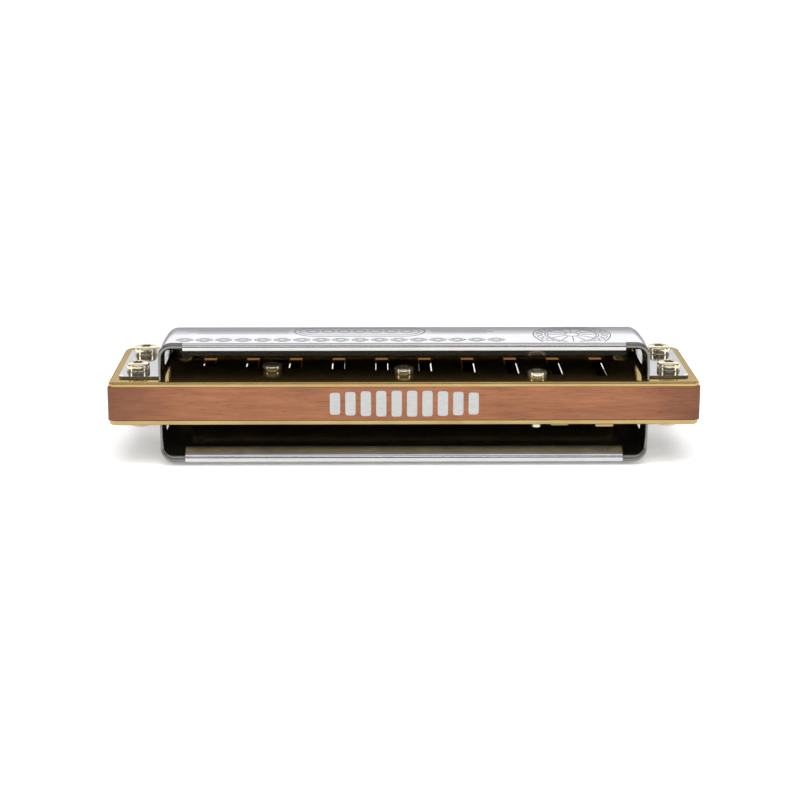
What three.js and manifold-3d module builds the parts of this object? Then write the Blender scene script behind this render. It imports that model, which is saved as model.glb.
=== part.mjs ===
// A ten-hole diatonic harmonica: a wooden comb between two brass reed plates, closed by two steel covers.
// Millimetres. +X runs along the length with hole 1 (the longest reeds) at -X, the mouthpiece faces -Y,
// the covers' open backs face +Y, and +Z is up. The origin is the centre of the base, under the lower crest.

import * as THREE from "three";
import { mergeVertices } from "three/addons/utils/BufferGeometryUtils.js";
import Module from "manifold-3d";

const wasm = await Module();
wasm.setup();

// ---------------------------------------------------------------- driving dimensions

const HOLE_COUNT = 10;
const HOLE_PITCH = 7.6;

const COMB = { length: 100.8, depth: 27.4, thickness: 5.9, frontCorner: 3, backCorner: 0.6 };
const CHANNEL = { width: 5.6, corner: 1.2, behindSlot: 0.9 };

const PLATE = { length: 100.5, depth: 27, thickness: 0.85, frontCorner: 2.8, backCorner: 1.2 };

// Every slot starts at the same line near the front; the lengths shrink evenly from hole 1 to hole 10.
const SLOT = { width: 2.2, frontEdge: -4.1, longest: 13.4, step: 0.85 };

const REED = {
  width: 2,
  thickness: 0.25,
  tipGap: 0.15,
  padWidth: 3.1,
  padLength: 4.1,
  padThickness: 0.35,
  shoulder: 0.4,
};
const RIVET = {
  radius: 0.6,
  holeRadius: 0.7,
  headRadius: 0.8,
  crownRadius: 0.5,
  headHeight: 0.5,
  rimHeight: 0.3,
};

// The cover is a dome of one bent sheet: an arc across the depth, upright end walls, and flat end flanges.
const COVER = {
  sheet: 0.35,
  halfLength: 41.7,
  crestHeight: 10.9, // above the comb's middle
  crestBehindMiddle: 6.7,
  archRadius: 38,
  depth: 26,
  shoulder: 2.4,
  frontCorner: 3,
};
const CREST_FLAT = 1.6; // a flat band along the crest, for the harmonica to rest on
const FLANGE = { halfLength: 48.75, back: 10.9, front: -10, corner: 0.8 };
const LIP = { halfLength: 37.45, reach: 2.2, drop: 2.55 };
const VENT = { back: 5.7, front: -3, bottom: 4.75, top: 6.95, corner: 1 };

const COVER_SCREW = { x: 45.9, backY: 6, frontY: -6.5, shank: 1, hole: 1.25, head: 2, headHeight: 1.4 };
const COVER_NUT = {
  radius: 2,
  faceRadius: 1.5,
  height: 1.6,
  chamfer: 0.4,
  bore: 1.15,
  boreDepth: 1.1,
  screwDepth: 0.88, // how far the screw's end reaches into the bore
};
const PLATE_SCREW = { shank: 0.9, hole: 1.05, head: 1.65, headHeight: 1.25, tail: 1.3 };
// Shares of a screw head's radius (crown, recess) or of its height (rim, recessDepth).
const HEAD_SHAPE = { crown: 0.72, rim: 0.7, recess: 0.5, recessDepth: 0.55 };
const PLATE_SCREW_PLACES = [
  { name: "back_left", x: -22.8, y: 10.05 },
  { name: "back_middle", x: 0, y: 7.3 },
  { name: "back_right", x: 22.8, y: 4.8 },
  { name: "front_left", x: -39, y: -7.3 },
  { name: "front_right", x: 39, y: -7.3 },
];

// ---------------------------------------------------------------- derived places

const BACK_Y = COMB.depth / 2;
const COMB_TOP = COMB.thickness / 2;
const PLATE_TOP = COMB_TOP + PLATE.thickness;
const FLANGE_TOP = PLATE_TOP + COVER.sheet;
const COVER_FRONT_Y = BACK_Y - COVER.depth;
const ARCH_CENTRE_Z = COVER.crestHeight - COVER.archRadius;
const HOLES = Array.from({ length: HOLE_COUNT }, (_, index) => index + 1);
const CUT_PAST = 1; // how far a cutting solid runs past the face it cuts
const CORNER_STEPS = 4; // flats round a corner in plan
const SHOULDER_STEPS = 5; // flats round the dome's shoulder
const ARCH_STEPS = 5; // flats along the dome, from the front corners to the crest
const FRONT_DEPTHS = [0, 0.25, 0.8, 1.7]; // sections round the dome's front corners, behind its front
const HOLE_SIDES = 12;
const RIVET_SIDES = 8;
const SCREW_SIDES = 16;
const RECESS_SIDES = 6;

const holeX = (hole) => (hole - (HOLE_COUNT + 1) / 2) * HOLE_PITCH;
const slotLength = (hole) => SLOT.longest - SLOT.step * (hole - 1);
const slotBackY = (hole) => SLOT.frontEdge + slotLength(hole);

const COVER_SCREW_PLACES = [
  { name: "left_back", x: -COVER_SCREW.x, y: COVER_SCREW.backY },
  { name: "left_front", x: -COVER_SCREW.x, y: COVER_SCREW.frontY },
  { name: "right_back", x: COVER_SCREW.x, y: COVER_SCREW.backY },
  { name: "right_front", x: COVER_SCREW.x, y: COVER_SCREW.frontY },
];

// ---------------------------------------------------------------- materials

const finish = (color, roughness, metalness) =>
  new THREE.MeshStandardMaterial({ color, roughness, metalness });
const PEARWOOD = finish(0x6b3a26, 0.62, 0);
const BRASS = finish(0xc9a45a, 0.3, 1);
const REED_BRASS = finish(0xd8b870, 0.35, 1);
const STEEL = finish(0xc4c6c8, 0.12, 1);
const NICKEL = finish(0xc9c2b4, 0.22, 1);

// ---------------------------------------------------------------- solids

/** A closed three.js geometry as a manifold solid. */
function solidOf(geometry) {
  const bare = geometry.clone();
  bare.deleteAttribute("normal");
  bare.deleteAttribute("uv");
  const merged = mergeVertices(bare, 1e-4);
  const vertProperties = merged.attributes.position.array;
  const triVerts = new Uint32Array(merged.index.array);
  return new wasm.Manifold(new wasm.Mesh({ numProp: 3, vertProperties, triVerts }));
}

/** A manifold solid as a three.js geometry with flat faces. */
function geometryOf(solid) {
  const { vertProperties, triVerts } = solid.getMesh();
  const geometry = new THREE.BufferGeometry();
  geometry.setAttribute("position", new THREE.BufferAttribute(vertProperties, 3));
  geometry.setIndex(new THREE.BufferAttribute(triVerts, 1));
  const flat = geometry.toNonIndexed();
  flat.computeVertexNormals();
  return flat;
}

const joined = (solids) => solids.reduce((sum, solid) => sum.add(solid));
const cutBy = (solid, tools) => tools.reduce((left, tool) => left.subtract(tool), solid);

/** A plan outline (X across, Y deep) raised from one height to another. */
function slab(outline, bottom, top) {
  const raised = new THREE.ExtrudeGeometry(outline, { depth: top - bottom, bevelEnabled: false });
  raised.translate(0, 0, bottom);
  return solidOf(raised);
}

/** A rectangle whose front (-Y) and back (+Y) corners are rounded. */
function roundedOutline(left, right, front, back, frontRadius, backRadius) {
  const quarter = Math.PI / 2;
  const corners = [
    { x: left + frontRadius, y: front + frontRadius, radius: frontRadius, start: 2 * quarter },
    { x: right - frontRadius, y: front + frontRadius, radius: frontRadius, start: 3 * quarter },
    { x: right - backRadius, y: back - backRadius, radius: backRadius, start: 0 },
    { x: left + backRadius, y: back - backRadius, radius: backRadius, start: quarter },
  ];
  const points = corners.flatMap(({ x, y, radius, start }) => {
    const steps = radius > 0 ? CORNER_STEPS : 0;
    return Array.from({ length: steps + 1 }, (_, step) => {
      const angle = start + (steps ? (quarter * step) / steps : 0);
      return new THREE.Vector2(x + radius * Math.cos(angle), y + radius * Math.sin(angle));
    });
  });
  return new THREE.Shape(points);
}

/** An upright round bar, or the cutter of an upright round hole. */
function roundBar(x, y, radius, bottom, top, sides = HOLE_SIDES) {
  const bar = new THREE.CylinderGeometry(radius, radius, top - bottom, sides);
  bar.rotateX(Math.PI / 2);
  bar.translate(x, y, (bottom + top) / 2);
  return solidOf(bar);
}

/** A solid of revolution about Z: the profile is a list of [radius, height], from the axis to the axis. */
function turned(profile, sides) {
  const lathe = new THREE.LatheGeometry(
    profile.map(([radius, height]) => new THREE.Vector2(radius, height)),
    sides,
  );
  lathe.rotateX(Math.PI / 2);
  return solidOf(lathe);
}

/** A solid through equal rings of points, listed along the depth, each ring convex and flat. */
function lofted(rings) {
  const count = rings[0].length;
  const positions = rings.flat(2);
  const index = [];
  for (let ring = 0; ring + 1 < rings.length; ring++) {
    for (let point = 0; point < count; point++) {
      const next = (point + 1) % count;
      const [a, b] = [ring * count + point, ring * count + next];
      const [c, d] = [a + count, b + count];
      index.push(a, d, b, a, c, d);
    }
  }
  const last = (rings.length - 1) * count;
  for (let point = 1; point + 1 < count; point++) {
    index.push(0, point, point + 1);
    index.push(last, last + point + 1, last + point);
  }
  const geometry = new THREE.BufferGeometry();
  geometry.setAttribute("position", new THREE.Float32BufferAttribute(positions, 3));
  geometry.setIndex(index);
  return solidOf(geometry);
}

// ---------------------------------------------------------------- comb

/** One breath channel: open at the mouthpiece, closed behind by the stepped back wall. */
function channel(hole) {
  const [left, right] = [holeX(hole) - CHANNEL.width / 2, holeX(hole) + CHANNEL.width / 2];
  const back = slotBackY(hole) + CHANNEL.behindSlot;
  const outline = roundedOutline(left, right, -BACK_Y - CUT_PAST, back, 0, CHANNEL.corner);
  return slab(outline, -COMB_TOP - CUT_PAST, COMB_TOP + CUT_PAST);
}

/** The holes that the plate screws and cover screws pass through. */
function screwHoles(bottom, top) {
  return [
    ...PLATE_SCREW_PLACES.map(({ x, y }) => roundBar(x, y, PLATE_SCREW.hole, bottom, top)),
    ...COVER_SCREW_PLACES.map(({ x, y }) => roundBar(x, y, COVER_SCREW.hole, bottom, top)),
  ];
}

function comb() {
  const half = COMB.length / 2;
  const outline = roundedOutline(-half, half, -BACK_Y, BACK_Y, COMB.frontCorner, COMB.backCorner);
  const block = slab(outline, -COMB_TOP, COMB_TOP);
  return cutBy(block, [...HOLES.map(channel), ...screwHoles(-COMB_TOP - CUT_PAST, COMB_TOP + CUT_PAST)]);
}

// ---------------------------------------------------------------- reed plates and reeds

/** Where a reed is riveted: blow reeds at the front end of their slot, draw reeds at the back end. */
const rootY = (hole, isBlow) => (isBlow ? SLOT.frontEdge : slotBackY(hole));
const rivetY = (hole, isBlow) => rootY(hole, isBlow) + (isBlow ? -0.5 : 0.5) * REED.padLength;

function reedPlate(isBlow) {
  const half = PLATE.length / 2;
  const [bottom, top] = isBlow ? [COMB_TOP, PLATE_TOP] : [-PLATE_TOP, -COMB_TOP];
  const [cutBottom, cutTop] = [bottom - CUT_PAST, top + CUT_PAST];
  const front = BACK_Y - PLATE.depth;
  const outline = roundedOutline(-half, half, front, BACK_Y, PLATE.frontCorner, PLATE.backCorner);
  const blank = slab(outline, bottom, top);
  const slots = HOLES.map((hole) => {
    const [left, right] = [holeX(hole) - SLOT.width / 2, holeX(hole) + SLOT.width / 2];
    return slab(roundedOutline(left, right, SLOT.frontEdge, slotBackY(hole), 0, 0), cutBottom, cutTop);
  });
  const rivetHoles = HOLES.map((hole) =>
    roundBar(holeX(hole), rivetY(hole, isBlow), RIVET.holeRadius, cutBottom, cutTop, RIVET_SIDES),
  );
  return cutBy(blank, [...slots, ...rivetHoles, ...screwHoles(cutBottom, cutTop)]);
}

/** One reed: a narrow tongue over the slot, and the wider, thicker pad that its rivet holds on the plate. */
function reed(hole, isBlow) {
  const towardsTip = isBlow ? 1 : -1;
  const root = rootY(hole, isBlow);
  const tip = root + towardsTip * (slotLength(hole) - REED.tipGap);
  const neck = root - towardsTip * REED.shoulder;
  const padEnd = root - towardsTip * REED.padLength;
  const x = holeX(hole);
  const top = isBlow ? COMB_TOP : -PLATE_TOP;
  const bar = (half, from, to, thickness) => {
    const outline = roundedOutline(x - half, x + half, Math.min(from, to), Math.max(from, to), 0, 0);
    return slab(outline, top - thickness, top);
  };
  const tongue = bar(REED.width / 2, neck, tip, REED.thickness);
  const pad = bar(REED.padWidth / 2, padEnd, neck, REED.padThickness);
  const [cutBottom, cutTop] = [top - REED.padThickness - CUT_PAST, top + CUT_PAST];
  const rivetHole = roundBar(x, rivetY(hole, isBlow), RIVET.holeRadius, cutBottom, cutTop, RIVET_SIDES);
  return joined([tongue, pad]).subtract(rivetHole);
}

/** A rivet: its head under the reed's pad, its shank flush with the far face of the plate. */
function rivet(hole, isBlow) {
  const under = (isBlow ? COMB_TOP : -PLATE_TOP) - REED.padThickness;
  const flush = isBlow ? PLATE_TOP : -COMB_TOP;
  const profile = [
    [0, under - RIVET.headHeight],
    [RIVET.crownRadius, under - RIVET.headHeight],
    [RIVET.headRadius, under - RIVET.rimHeight],
    [RIVET.headRadius, under],
    [RIVET.radius, under],
    [RIVET.radius, flush],
    [0, flush],
  ];
  return turned(profile, RIVET_SIDES).translate([holeX(hole), rivetY(hole, isBlow), 0]);
}

// ---------------------------------------------------------------- covers

/** The height of the arched sheet's outer face at a depth. */
function archHeight(y) {
  const away = Math.max(0, Math.abs(y - COVER.crestBehindMiddle) - CREST_FLAT / 2);
  return ARCH_CENTRE_Z + Math.sqrt(COVER.archRadius ** 2 - away ** 2);
}

/** One upright section of the dome, moved inwards by a thickness: a box with rounded shoulders. */
function coverSection(y, inset, base) {
  const fromFront = Math.max(0, COVER_FRONT_Y + COVER.frontCorner - y);
  const rounding = COVER.frontCorner - Math.sqrt(Math.max(0, COVER.frontCorner ** 2 - fromFront ** 2));
  const half = COVER.halfLength - inset - rounding;
  const top = archHeight(y) - inset;
  const shoulder = Math.min(COVER.shoulder - inset, top - PLATE_TOP - inset);
  const ring = [[half, y, base]];
  for (const side of [1, -1]) {
    for (let step = 0; step <= SHOULDER_STEPS; step++) {
      const angle = (Math.PI / 2) * (step / SHOULDER_STEPS);
      const turn = side > 0 ? angle : Math.PI / 2 - angle;
      const x = side * (half - shoulder + shoulder * Math.cos(turn));
      ring.push([x, y, top - shoulder + shoulder * Math.sin(turn)]);
    }
  }
  ring.push([-half, y, base]);
  return ring;
}

/** The dome's outer solid (inset 0) or the hollow inside it (inset one sheet). */
function dome(inset) {
  const base = inset > 0 ? PLATE_TOP - CUT_PAST : PLATE_TOP;
  const front = COVER_FRONT_Y + inset;
  const back = inset > 0 ? BACK_Y + CUT_PAST : BACK_Y;
  const crestFront = COVER.crestBehindMiddle - CREST_FLAT / 2;
  const crestBack = COVER.crestBehindMiddle + CREST_FLAT / 2;
  const edge = COVER_FRONT_Y + COVER.frontCorner;
  const depths = FRONT_DEPTHS.map((depth) => front + depth);
  for (let step = 0; step <= ARCH_STEPS; step++) {
    depths.push(edge + ((crestFront - edge) * step) / ARCH_STEPS);
  }
  depths.push(crestBack, (crestBack + back) / 2, back);
  return lofted(depths.map((y) => coverSection(y, inset, base)));
}

/** The back lip: the sheet folded forwards and down along the dome's back edge. */
function backLip() {
  const topZ = archHeight(BACK_Y);
  const slope = Math.hypot(LIP.reach, LIP.drop);
  const across = { y: (COVER.sheet * LIP.drop) / slope, z: (COVER.sheet * LIP.reach) / slope };
  const outline = new THREE.Shape(
    [
      [BACK_Y, topZ - COVER.sheet],
      [BACK_Y - LIP.reach, topZ - LIP.drop],
      [BACK_Y - LIP.reach - across.y, topZ - LIP.drop + across.z],
      [BACK_Y - 2 * across.y, topZ - COVER.sheet / 2],
      [BACK_Y, topZ - COVER.sheet / 4],
    ].map(([y, z]) => new THREE.Vector2(y, z)),
  );
  const fold = new THREE.ExtrudeGeometry(outline, { depth: 2 * LIP.halfLength, bevelEnabled: false });
  fold.translate(0, 0, -LIP.halfLength);
  // The outline was drawn as (Y, Z) and raised along X.
  const alongX = new THREE.Vector3(1, 0, 0);
  const alongY = new THREE.Vector3(0, 1, 0);
  const alongZ = new THREE.Vector3(0, 0, 1);
  fold.applyMatrix4(new THREE.Matrix4().makeBasis(alongY, alongZ, alongX));
  return solidOf(fold);
}

function ventCutter(side) {
  const outline = roundedOutline(-VENT.top, -VENT.bottom, VENT.front, VENT.back, VENT.corner, VENT.corner);
  const bar = slab(outline, 0, 2 * CUT_PAST + COVER.shoulder);
  // The outline was drawn as (-Z, Y); the turn stands it up in the end wall.
  const stood = bar.rotate([0, 90, 0]);
  const outside = COVER.halfLength + CUT_PAST;
  return stood.translate([side > 0 ? outside - 2 * CUT_PAST - COVER.shoulder : -outside, 0, 0]);
}

function cover() {
  const flanges = [-1, 1].map((side) => {
    const [inner, outer] = [COVER.halfLength - COVER.sheet, FLANGE.halfLength].map((x) => side * x);
    const [left, right] = [Math.min(inner, outer), Math.max(inner, outer)];
    return slab(
      roundedOutline(left, right, FLANGE.front, FLANGE.back, FLANGE.corner, FLANGE.corner),
      PLATE_TOP,
      FLANGE_TOP,
    );
  });
  const screwCutters = COVER_SCREW_PLACES.map(({ x, y }) =>
    roundBar(x, y, COVER_SCREW.hole, PLATE_TOP - CUT_PAST, FLANGE_TOP + CUT_PAST),
  );
  const shell = joined([dome(0), ...flanges]).subtract(dome(COVER.sheet));
  return cutBy(joined([shell, backLip()]), [ventCutter(-1), ventCutter(1), ...screwCutters]);
}

// ---------------------------------------------------------------- fasteners

/** The six-sided driver recess in a screw's head. */
function driverRecess(radius, bottom, top) {
  return roundBar(0, 0, radius, bottom, top + CUT_PAST, RECESS_SIDES);
}

/** A screw with a low domed head on the face at seatZ and a shank down to tailZ. */
function screw({ shank, head, headHeight }, seatZ, tailZ) {
  const top = seatZ + headHeight;
  const profile = [
    [0, tailZ],
    [shank, tailZ],
    [shank, seatZ],
    [head, seatZ],
    [head, seatZ + HEAD_SHAPE.rim * headHeight],
    [HEAD_SHAPE.crown * head, top],
    [0, top],
  ];
  const recess = driverRecess(HEAD_SHAPE.recess * head, top - HEAD_SHAPE.recessDepth * headHeight, top);
  return turned(profile, SCREW_SIDES).subtract(recess);
}

/** A round cap nut under the lower flange, bored for the screw's end. */
function coverNut() {
  const [seat, bottom] = [-FLANGE_TOP, -FLANGE_TOP - COVER_NUT.height];
  const profile = [
    [0, bottom],
    [COVER_NUT.faceRadius, bottom],
    [COVER_NUT.radius, bottom + COVER_NUT.chamfer],
    [COVER_NUT.radius, seat],
    [0, seat],
  ];
  const bore = roundBar(0, 0, COVER_NUT.bore, seat - COVER_NUT.boreDepth, seat + CUT_PAST);
  return turned(profile, SCREW_SIDES).subtract(bore);
}

// ---------------------------------------------------------------- the assembly

/** Adds one named mesh to a group, at a place in it. */
function place(group, name, solid, material, x = 0, y = 0) {
  const mesh = new THREE.Mesh(geometryOf(solid), material);
  mesh.name = name;
  mesh.position.set(x, y, 0);
  group.add(mesh);
  return mesh;
}

/** A group of one reed plate with its reeds and rivets. */
function platedReeds(side, isBlow) {
  const group = new THREE.Group();
  place(group, `${side}_reed_plate`, reedPlate(isBlow), BRASS);
  for (const hole of HOLES) {
    place(group, `${side}_reed_${hole}`, reed(hole, isBlow), REED_BRASS);
    place(group, `${side}_rivet_${hole}`, rivet(hole, isBlow), BRASS);
  }
  return group;
}

function fasteners() {
  const group = new THREE.Group();
  const coverScrew = screw(COVER_SCREW, FLANGE_TOP, -FLANGE_TOP - COVER_NUT.screwDepth);
  const plateScrew = screw(PLATE_SCREW, PLATE_TOP, -PLATE_TOP - PLATE_SCREW.tail);
  for (const { name, x, y } of COVER_SCREW_PLACES) {
    place(group, `cover_screw_${name}`, coverScrew, NICKEL, x, y);
    place(group, `cover_nut_${name}`, coverNut(), NICKEL, x, y);
  }
  for (const { name, x, y } of PLATE_SCREW_PLACES) {
    place(group, `plate_screw_${name}`, plateScrew, NICKEL, x, y);
  }
  return group;
}

const harp = new THREE.Group();
place(harp, "comb", comb(), PEARWOOD);
harp.add(platedReeds("blow", true), platedReeds("draw", false), fasteners());
place(harp, "top_cover", cover(), STEEL);
place(harp, "bottom_cover", cover(), STEEL).scale.z = -1;
harp.position.z = COVER.crestHeight;

const part = new THREE.Group();
part.add(harp);

export default part;
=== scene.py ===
import math

import bmesh
import bpy
from mathutils import Matrix, Vector
from mathutils.geometry import tessellate_polygon


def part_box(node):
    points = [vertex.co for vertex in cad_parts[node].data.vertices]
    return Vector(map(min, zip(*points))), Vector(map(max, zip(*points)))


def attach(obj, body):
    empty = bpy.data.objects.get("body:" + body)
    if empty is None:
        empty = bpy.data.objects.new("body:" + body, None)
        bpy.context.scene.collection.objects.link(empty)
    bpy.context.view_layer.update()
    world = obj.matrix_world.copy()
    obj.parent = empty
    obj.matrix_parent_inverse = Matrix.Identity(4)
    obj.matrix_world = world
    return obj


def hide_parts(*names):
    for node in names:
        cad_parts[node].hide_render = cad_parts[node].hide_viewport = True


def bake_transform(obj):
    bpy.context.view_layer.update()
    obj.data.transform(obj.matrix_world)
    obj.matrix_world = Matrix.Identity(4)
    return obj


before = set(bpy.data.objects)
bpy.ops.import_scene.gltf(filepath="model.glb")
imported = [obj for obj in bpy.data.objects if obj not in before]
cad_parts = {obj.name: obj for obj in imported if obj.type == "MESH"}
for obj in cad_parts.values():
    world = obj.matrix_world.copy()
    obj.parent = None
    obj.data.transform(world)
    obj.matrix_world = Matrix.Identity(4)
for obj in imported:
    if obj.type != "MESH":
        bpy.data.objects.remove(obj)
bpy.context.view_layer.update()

# ---------------------------------------------------------------- sizes

MM = 0.001
HOLES = range(1, 11)
MERGE_DISTANCE = 0.0005

comb_low_m, comb_high_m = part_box("comb")
MIDDLE_M = (comb_low_m.z + comb_high_m.z) / 2


def box_mm(node):
    """The lowest and highest corner of a CAD node, in millimetres, heights from the comb's middle."""
    low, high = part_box(node)
    lift = Vector((0, 0, MIDDLE_M))
    return (low - lift) / MM, (high - lift) / MM


COMB_LOW, COMB_HIGH = box_mm("comb")
COVER_LOW, COVER_HIGH = box_mm("top_cover")
COMB_TOP = COMB_HIGH.z
PLATE_TOP = box_mm("blow_reed_plate")[1].z
BACK_Y = COMB_HIGH.y

COMB_FRONT_CORNER = 3
COMB_BACK_CORNER = 0.6
COMB_EDGE = 0.16
COMB_HOLE_EDGE = 0.02
COVER_SCREW_HOLE = 1.25
PLATE_SCREW_HOLE = 1.05
RIVET_HOLE = 0.62
CHANNEL_HALF_WIDTH = 2.8
CHANNEL_CORNER = 1.2
CHANNEL_BEHIND_REED = 1.05

PLATE_FRONT_CORNER = 2.8
PLATE_BACK_CORNER = 1.2
PLATE_INNER_EDGE = 0.06
PLATE_OUTER_EDGE = 0.42
SLOT_HALF_WIDTH = 1.1
SLOT_EDGE = 0.04
# Above this share of its height, a slot's end glows orange with painted light.
GLOW_FROM_SHARE = 0.55

REED_TIP_GAP = 0.15
REED_HALF_WIDTH = 1.0
REED_PAD_LENGTH = 4.1
REED_PAD_CORNER = 0.12
REED_PAD_TAPER = 0.08
REED_PAD_END = 0.6
REED_STEP_END = 0.42
REED_NECK_START = 0.2
REED_NECK_FLARE = 0.12
REED_THICKNESS = 0.25
REED_THINNING = 0.32
REED_EDGE = 0.035
RIVET_HEAD = 0.5
RIVET_SHANK = 0.6

SHEET = 0.35
WALL_X = 41.7
SHOULDER = 2.4
ARCH_RADIUS = 38.0
CREST_Y = 6.7
CREST_HALF_FLAT = 0.8
COVER_CORNER = 3.0
FRONT_FILLET = 1.2
FOLD_RADIUS = 0.8
FOLD_TURN = math.radians(140)
TAB_HALF_LENGTH = 37.45
TAB_WIDTH = 1.75
CURL_WIDTH = 0.5
CURL_LARGEST = 0.7
CURL_SMALLEST = 0.25
SHEET_EDGE_ROUNDING = 0.07
FLANGE_BACK_Y = 10.9
FLANGE_FRONT_Y = -10.0
FLANGE_BEND = 0.48
FLANGE_CORNER = 0.9
FOOT_GAP = 0.01
SHOULDER_GAP = 0.05
VENT_LOW = Vector((40.0, -3.0, 4.75))
VENT_HIGH = Vector((43.0, 5.7, 6.95))

# ---------------------------------------------------------------- materials

BUMP_DEPTH = 0.01


class Shader:
    """A Principled material, with short calls for the nodes that its texture needs."""

    def __init__(self, name, **sockets):
        self.material = bpy.data.materials.new(name)
        self.material.use_nodes = True
        self.tree = self.material.node_tree
        self.surface = self.tree.nodes["Principled BSDF"]
        self.fill(self.surface, sockets)

    def fill(self, node, sockets):
        """Sets a node's inputs by name: another node's socket is linked, anything else is a value."""
        for name, value in sockets.items():
            socket = node.inputs[name.replace("_", " ")]
            if isinstance(value, bpy.types.NodeSocket):
                self.tree.links.new(value, socket)
            else:
                socket.default_value = value

    def add(self, kind, **sockets):
        """A new node of a kind, with its inputs set."""
        node = self.tree.nodes.new(kind)
        self.fill(node, sockets)
        return node

    def noise(self, scale, stretch=(1, 1, 1), detail=4.0, roughness=0.55):
        """Noise in the part's own frame, drawn out along the axes with the smallest stretch."""
        place = self.add("ShaderNodeTexCoord").outputs["Object"]
        mapped = self.add("ShaderNodeMapping", Vector=place, Scale=stretch).outputs["Vector"]
        settings = {"Scale": scale, "Detail": detail, "Roughness": roughness}
        return self.add("ShaderNodeTexNoise", Vector=mapped, **settings).outputs["Fac"]

    def distance_along_x(self):
        """0 in the middle of the harmonica's length, 1 at either end."""
        place = self.add("ShaderNodeTexCoord").outputs["Object"]
        x = self.add("ShaderNodeSeparateXYZ", Vector=place).outputs["X"]
        away = self.tree.nodes.new("ShaderNodeMath")
        away.operation = "ABSOLUTE"
        self.tree.links.new(x, away.inputs[0])
        share = self.add("ShaderNodeMapRange", Value=away.outputs[0], From_Max=comb_high_m.x)
        return share.outputs["Result"]

    def ramp(self, factor, *stops):
        """A colour ramp; each stop is (place, colour)."""
        node = self.add("ShaderNodeValToRGB", Fac=factor)
        elements = node.color_ramp.elements
        while len(elements) < len(stops):
            elements.new(0.5)
        for element, (place, colour) in zip(elements, stops):
            element.position = place
            element.color = (*colour, 1)
        return node.outputs["Color"]

    def levels(self, factor, low, high):
        """Noise's middle range, stretched to run from low to high."""
        node = self.add("ShaderNodeMapRange", Value=factor)
        for socket, value in zip(node.inputs[1:5], (0.3, 0.7, low, high)):
            socket.default_value = value
        return node.outputs["Result"]

    def multiply(self, first, second, amount=1.0):
        """The first colour darkened by the second, as far as the amount says."""
        node = self.tree.nodes.new("ShaderNodeMix")
        node.data_type = "RGBA"
        node.blend_type = "MULTIPLY"
        node.inputs["Factor"].default_value = amount
        colours = [socket for socket in node.inputs if socket.type == "RGBA"]
        self.tree.links.new(first, colours[0])
        self.tree.links.new(second, colours[1])
        return next(socket for socket in node.outputs if socket.type == "RGBA")

    def bump(self, height, strength, depth_mm):
        node = self.add("ShaderNodeBump", Height=height, Strength=strength, Distance=depth_mm * MM)
        self.fill(self.surface, {"Normal": node.outputs["Normal"]})

    def colour(self, socket):
        self.fill(self.surface, {"Base Color": socket})

    def roughness(self, socket):
        self.fill(self.surface, {"Roughness": socket})


def pearwood():
    """Red-brown pearwood: broad figure, fine streaks along the length, and short dark pores."""
    wood = Shader("pearwood", Coat_Weight=0.12, Coat_Roughness=0.35)
    figure = wood.noise(75, stretch=(1, 4, 5), detail=3)
    tone = wood.ramp(figure, (0.3, (0.27, 0.098, 0.038)), (0.7, (0.385, 0.151, 0.062)))
    streak = wood.noise(150, stretch=(1, 16, 18), detail=7, roughness=0.6)
    streaked = wood.multiply(tone, wood.ramp(streak, (0.3, (0.72, 0.66, 0.64)), (0.62, (1, 1, 1))))
    pore = wood.noise(520, stretch=(1, 14, 14), detail=2)
    pored = wood.multiply(streaked, wood.ramp(pore, (0.30, (0.45, 0.38, 0.36)), (0.40, (1, 1, 1))), 0.6)
    end_shade = wood.ramp(wood.distance_along_x(), (0.74, (1, 1, 1)), (1.0, (0.58, 0.52, 0.48)))
    wood.colour(wood.multiply(pored, end_shade))
    wood.roughness(wood.levels(streak, 0.5, 0.68))
    wood.bump(streak, 0.35, 0.03)
    return wood.material


def metal(name, dark, light, shine, stretch, scale, relief, metallic=1.0, **sockets):
    """A worked metal, mottled from dark to light. Its tool marks, a noise of this stretch and scale,
    vary the roughness within shine and raise the surface by relief."""
    made = Shader(name, Metallic=metallic, **sockets)
    mottle = made.noise(240, detail=5)
    marks = made.noise(scale, stretch=stretch, detail=5, roughness=0.65)
    made.colour(made.ramp(mottle, (0.3, dark), (0.7, light)))
    made.roughness(made.levels(marks, *shine))
    made.bump(marks, relief, BUMP_DEPTH)
    return made.material


def cut_brass():
    """The end of a slot, rough, coloured orange and glowing: painted light that stands for the warm light
    the brass round it throws back.
    """
    # The orange colour and the emission are painted light: the slot end is no lamp.
    cut = Shader("cut_brass", Metallic=0.2, Emission_Strength=0.2, Emission_Color=(1.0, 0.42, 0.1, 1))
    marks = cut.noise(400, stretch=(1, 1, 20), detail=5, roughness=0.65)
    cut.colour(cut.ramp(marks, (0.3, (0.90, 0.44, 0.12)), (0.7, (0.97, 0.56, 0.20))))
    cut.roughness(cut.levels(marks, 0.4, 0.55))
    cut.bump(marks, 0.3, BUMP_DEPTH)
    return cut.material


def engraved():
    """The matt grey floor of an etched line."""
    etch = Shader("etched_steel", Metallic=0.3)
    grain = etch.noise(3000, detail=3)
    etch.colour(etch.ramp(grain, (0.3, (0.09, 0.09, 0.1)), (0.7, (0.16, 0.16, 0.17))))
    etch.roughness(etch.levels(grain, 0.45, 0.65))
    etch.bump(grain, 0.3, BUMP_DEPTH)
    return etch.material


def print_ink():
    """White pad-printed ink with the wood's texture just showing in it."""
    ink = Shader("white_ink")
    weave = ink.noise(900, stretch=(1, 3, 3), detail=4)
    ink.colour(ink.ramp(weave, (0.3, (0.45, 0.45, 0.44)), (0.65, (0.51, 0.51, 0.50))))
    ink.roughness(ink.levels(weave, 0.45, 0.6))
    ink.bump(weave, 0.2, BUMP_DEPTH)
    return ink.material


ROLLED = {"stretch": (1, 26, 26), "scale": 90}
FILED = {"stretch": (30, 1, 30), "scale": 150, "relief": 0.08}
TURNED = {"stretch": (1, 1, 1), "scale": 9000}

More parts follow.
